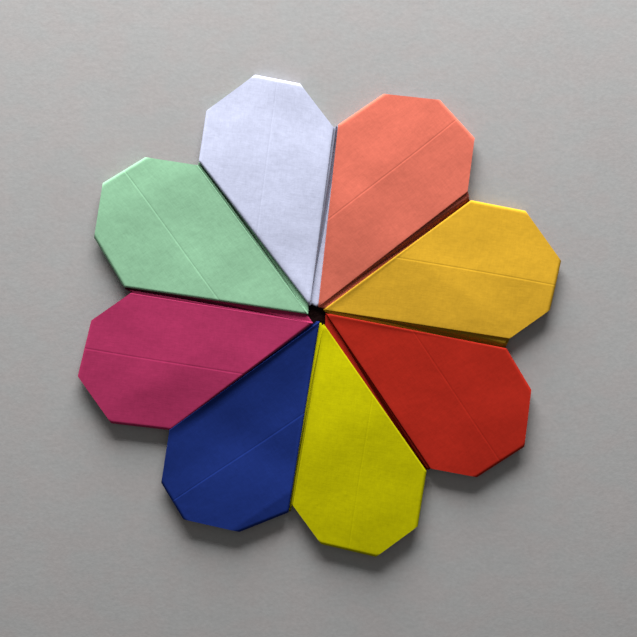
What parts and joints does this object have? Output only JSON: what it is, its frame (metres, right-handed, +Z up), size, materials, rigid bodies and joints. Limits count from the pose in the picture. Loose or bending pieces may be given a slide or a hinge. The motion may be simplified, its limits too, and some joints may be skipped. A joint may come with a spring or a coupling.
{
  "type": "modular origami flower",
  "caption": "Flat eight-fold pinwheel flower of folded paper hearts, each tucked under the next, with a small hole at the centre.",
  "frame": {"origin": "centre of the flower on the table plane, under the hole in the middle of the ring", "axes": "+Z up from the table, out of the side that shows; +Y from the centre to the top of the picture, +X to its right"},
  "size_m": [0.204, 0.204, 0.0034],
  "materials": {
    "white_paper": "matt uncoated craft paper, white, the same colour on both sides",
    "coral_paper": "matt uncoated craft paper, coral, the same colour on both sides",
    "amber_paper": "matt uncoated craft paper, amber, the same colour on both sides",
    "red_paper": "matt uncoated craft paper, red, the same colour on both sides",
    "yellow_paper": "matt uncoated craft paper, yellow, the same colour on both sides",
    "blue_paper": "matt uncoated craft paper, blue, the same colour on both sides",
    "magenta_paper": "matt uncoated craft paper, magenta, the same colour on both sides",
    "green_paper": "matt uncoated craft paper, green, the same colour on both sides"
  },
  "bodies": {
    "root": {"white_heart": "white_paper", "coral_heart": "coral_paper", "amber_heart": "amber_paper", "red_heart": "red_paper", "yellow_heart": "yellow_paper", "blue_heart": "blue_paper", "magenta_heart": "magenta_paper", "green_heart": "green_paper"}
  },
  "joints": []
}
